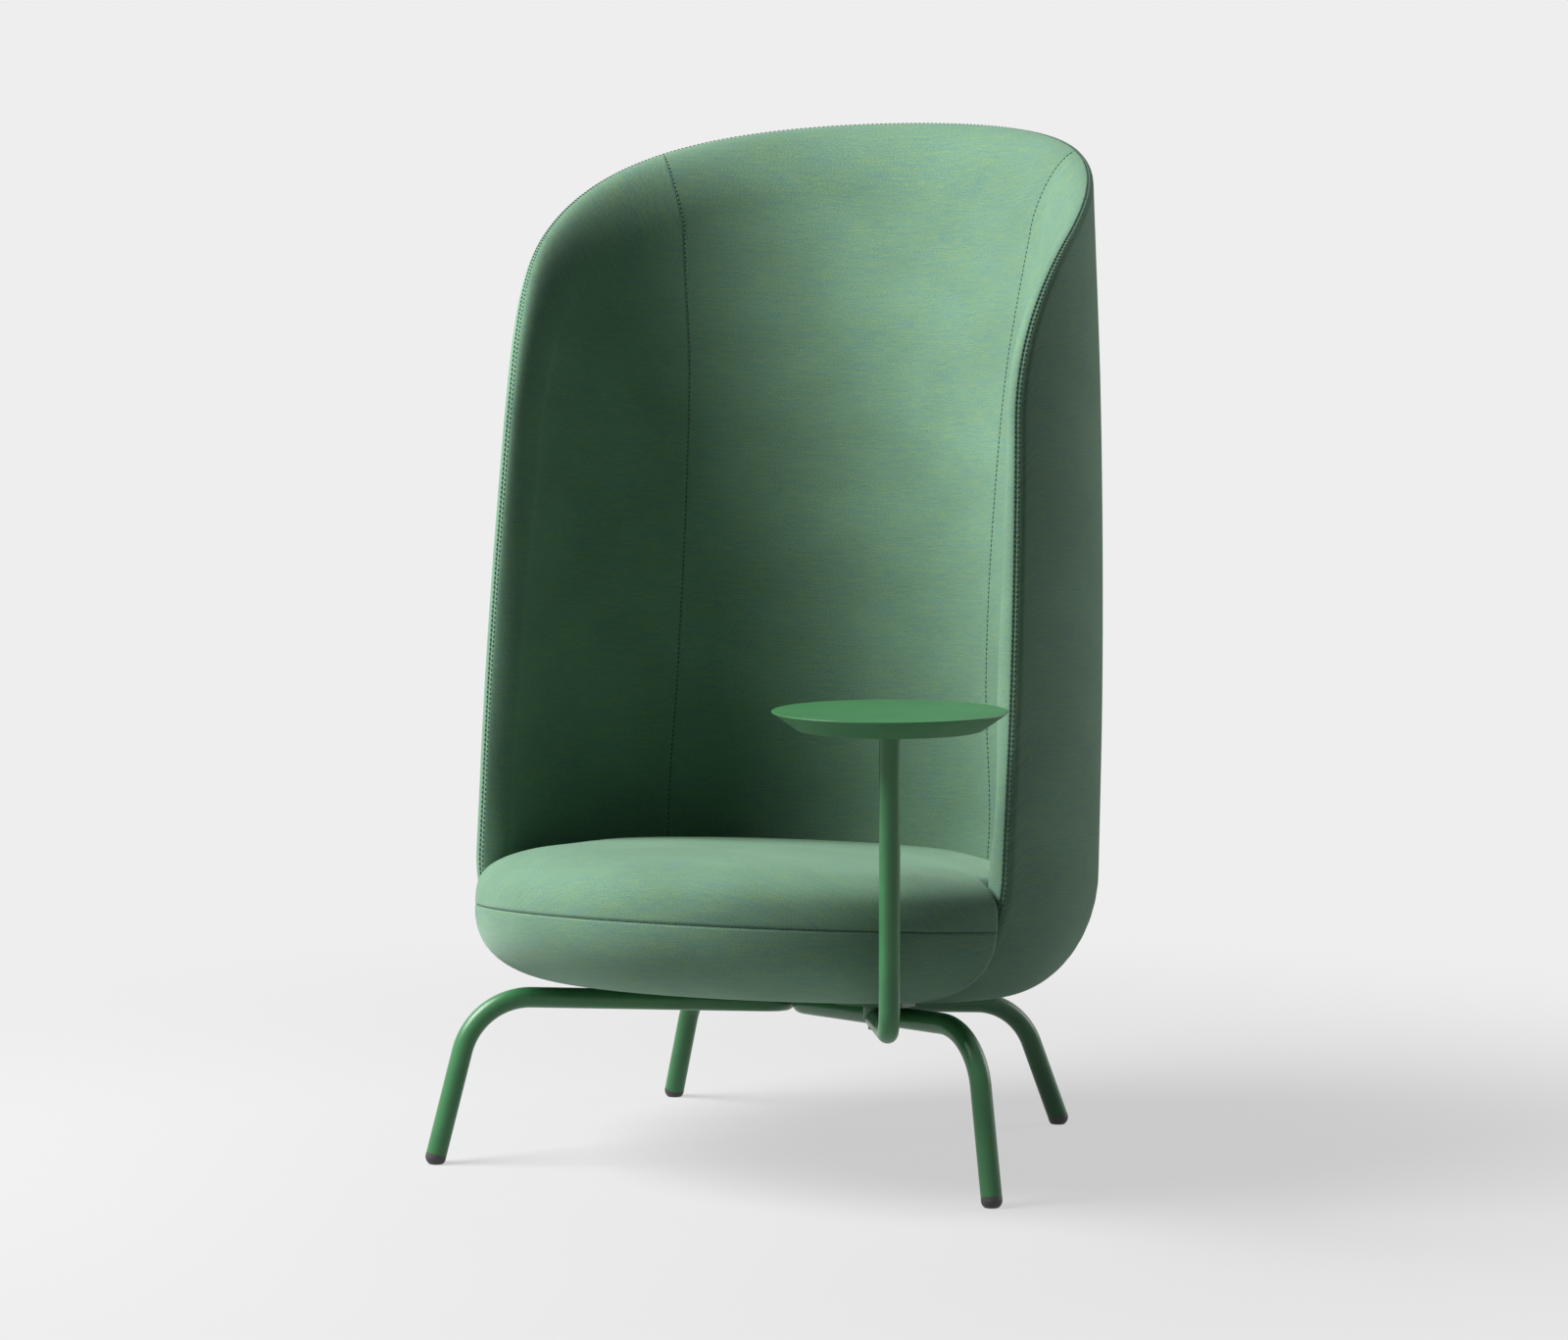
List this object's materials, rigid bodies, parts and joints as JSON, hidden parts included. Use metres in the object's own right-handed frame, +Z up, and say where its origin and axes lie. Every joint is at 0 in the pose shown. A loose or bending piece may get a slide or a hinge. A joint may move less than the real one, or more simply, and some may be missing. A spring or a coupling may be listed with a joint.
{
  "type": "easy chair with table",
  "caption": "Round high-back easy chair with an upholstered hood, a drum-shaped seat, a bent-tube frame and a small swinging side table.",
  "frame": {"origin": "on the floor, under the middle of the whole object from front to back, on the chair's mid-plane", "axes": "+Z up, the sitter faces -Y, +X to the sitter's left where the table stands"},
  "size_m": [0.865, 1.0092, 1.4134],
  "materials": {
    "green_paint": "satin powder coat",
    "dark_plastic": "matt",
    "steel": "zinc plated",
    "plywood": "bare",
    "foam": "open-cell foam",
    "green_lacquer": "satin lacquer",
    "green_wool": "woven wool melange"
  },
  "bodies": {
    "chair": {"frame_tube_left": "green_paint", "frame_tube_right": "green_paint", "frame_bridge_plate": "green_paint", "frame_tabs": "green_paint", "glide_front_left": "dark_plastic", "glide_front_right": "dark_plastic", "glide_rear_left": "dark_plastic", "glide_rear_right": "dark_plastic", "seat_bolts": "steel", "seat_washers": "steel", "seat_tee_nuts": "steel", "seat_board": "plywood", "seat_foam": "foam", "seat_cover_top": "green_wool", "seat_cover_band": "green_wool", "hood_outer_cover": "green_wool", "hood_core": "plywood", "hood_pad_floor": "foam", "hood_pad_right": "foam", "hood_pad_left": "foam", "hood_pad_centre": "foam", "lining_centre": "green_wool", "lining_left": "green_wool", "lining_right": "green_wool", "pivot_housing": "green_paint", "housing_screws": "steel", "pivot_bush_lower": "dark_plastic", "pivot_bush_upper": "dark_plastic"},
    "table": {"table_arm": "green_paint", "arm_end_cap": "dark_plastic", "pivot_pin": "green_paint", "pivot_thrust_washer": "dark_plastic", "pivot_retainer": "steel", "pivot_screw": "steel", "table_flange": "green_paint", "table_screws": "steel", "table_top": "green_lacquer"}
  },
  "joints": [
    {"name": "table_swing", "type": "hinge", "parent": "chair", "child": "table", "pos_m": [0.19134, -0.13951, 0.24], "axis": [0, 0, 1], "range_deg": [-18, 18]}
  ]
}
